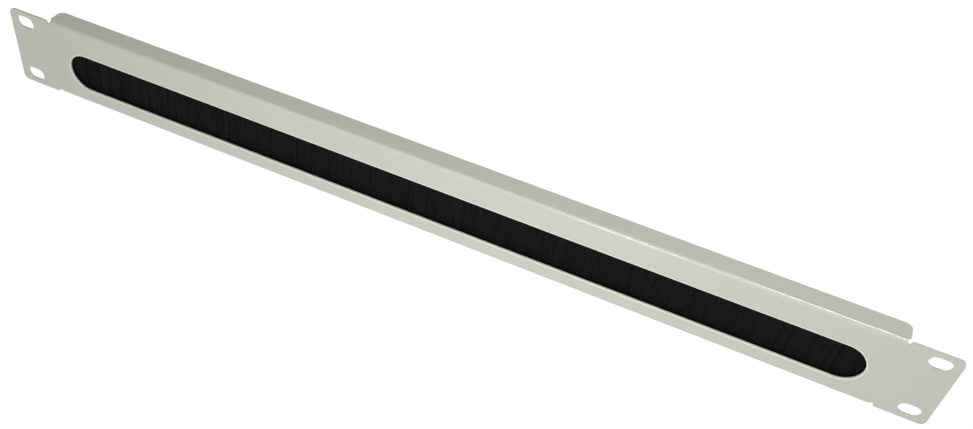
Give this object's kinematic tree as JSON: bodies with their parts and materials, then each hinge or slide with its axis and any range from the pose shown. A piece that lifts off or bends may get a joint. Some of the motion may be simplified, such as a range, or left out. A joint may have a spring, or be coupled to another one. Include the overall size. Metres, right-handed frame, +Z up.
{
  "type": "rack brush strip panel",
  "caption": "Folded sheet-steel panel for a 19-inch rack with a long round-ended cable opening, closed by a strip brush of black filaments held behind it.",
  "frame": {"origin": "centre of the four rack slots, on the rear of the sheet, the side that lies on the rack's posts", "axes": "+X to the right seen from the front, +Z up, the front of the panel faces -Y"},
  "size_m": [0.4826, 0.011, 0.0436],
  "materials": {
    "light_grey_powder_coat": "satin, fine orange peel",
    "mill_aluminium": "extruded, unpolished",
    "galvanised_steel": "rolled strip, galvanised",
    "drawn_steel_wire": "drawn",
    "black_nylon_filament": "fine filaments, slight sheen",
    "copper_flashed_steel": "thin copper plate",
    "zinc_plated_steel": "bright zinc plate"
  },
  "bodies": {
    "root": {"face_panel": "light_grey_powder_coat", "brush_holder": "mill_aluminium", "brush_channel": "galvanised_steel", "core_wire": "drawn_steel_wire", "bristles": "black_nylon_filament", "weld_studs": "copper_flashed_steel", "washers": "zinc_plated_steel", "hex_nuts": "zinc_plated_steel"}
  },
  "joints": []
}
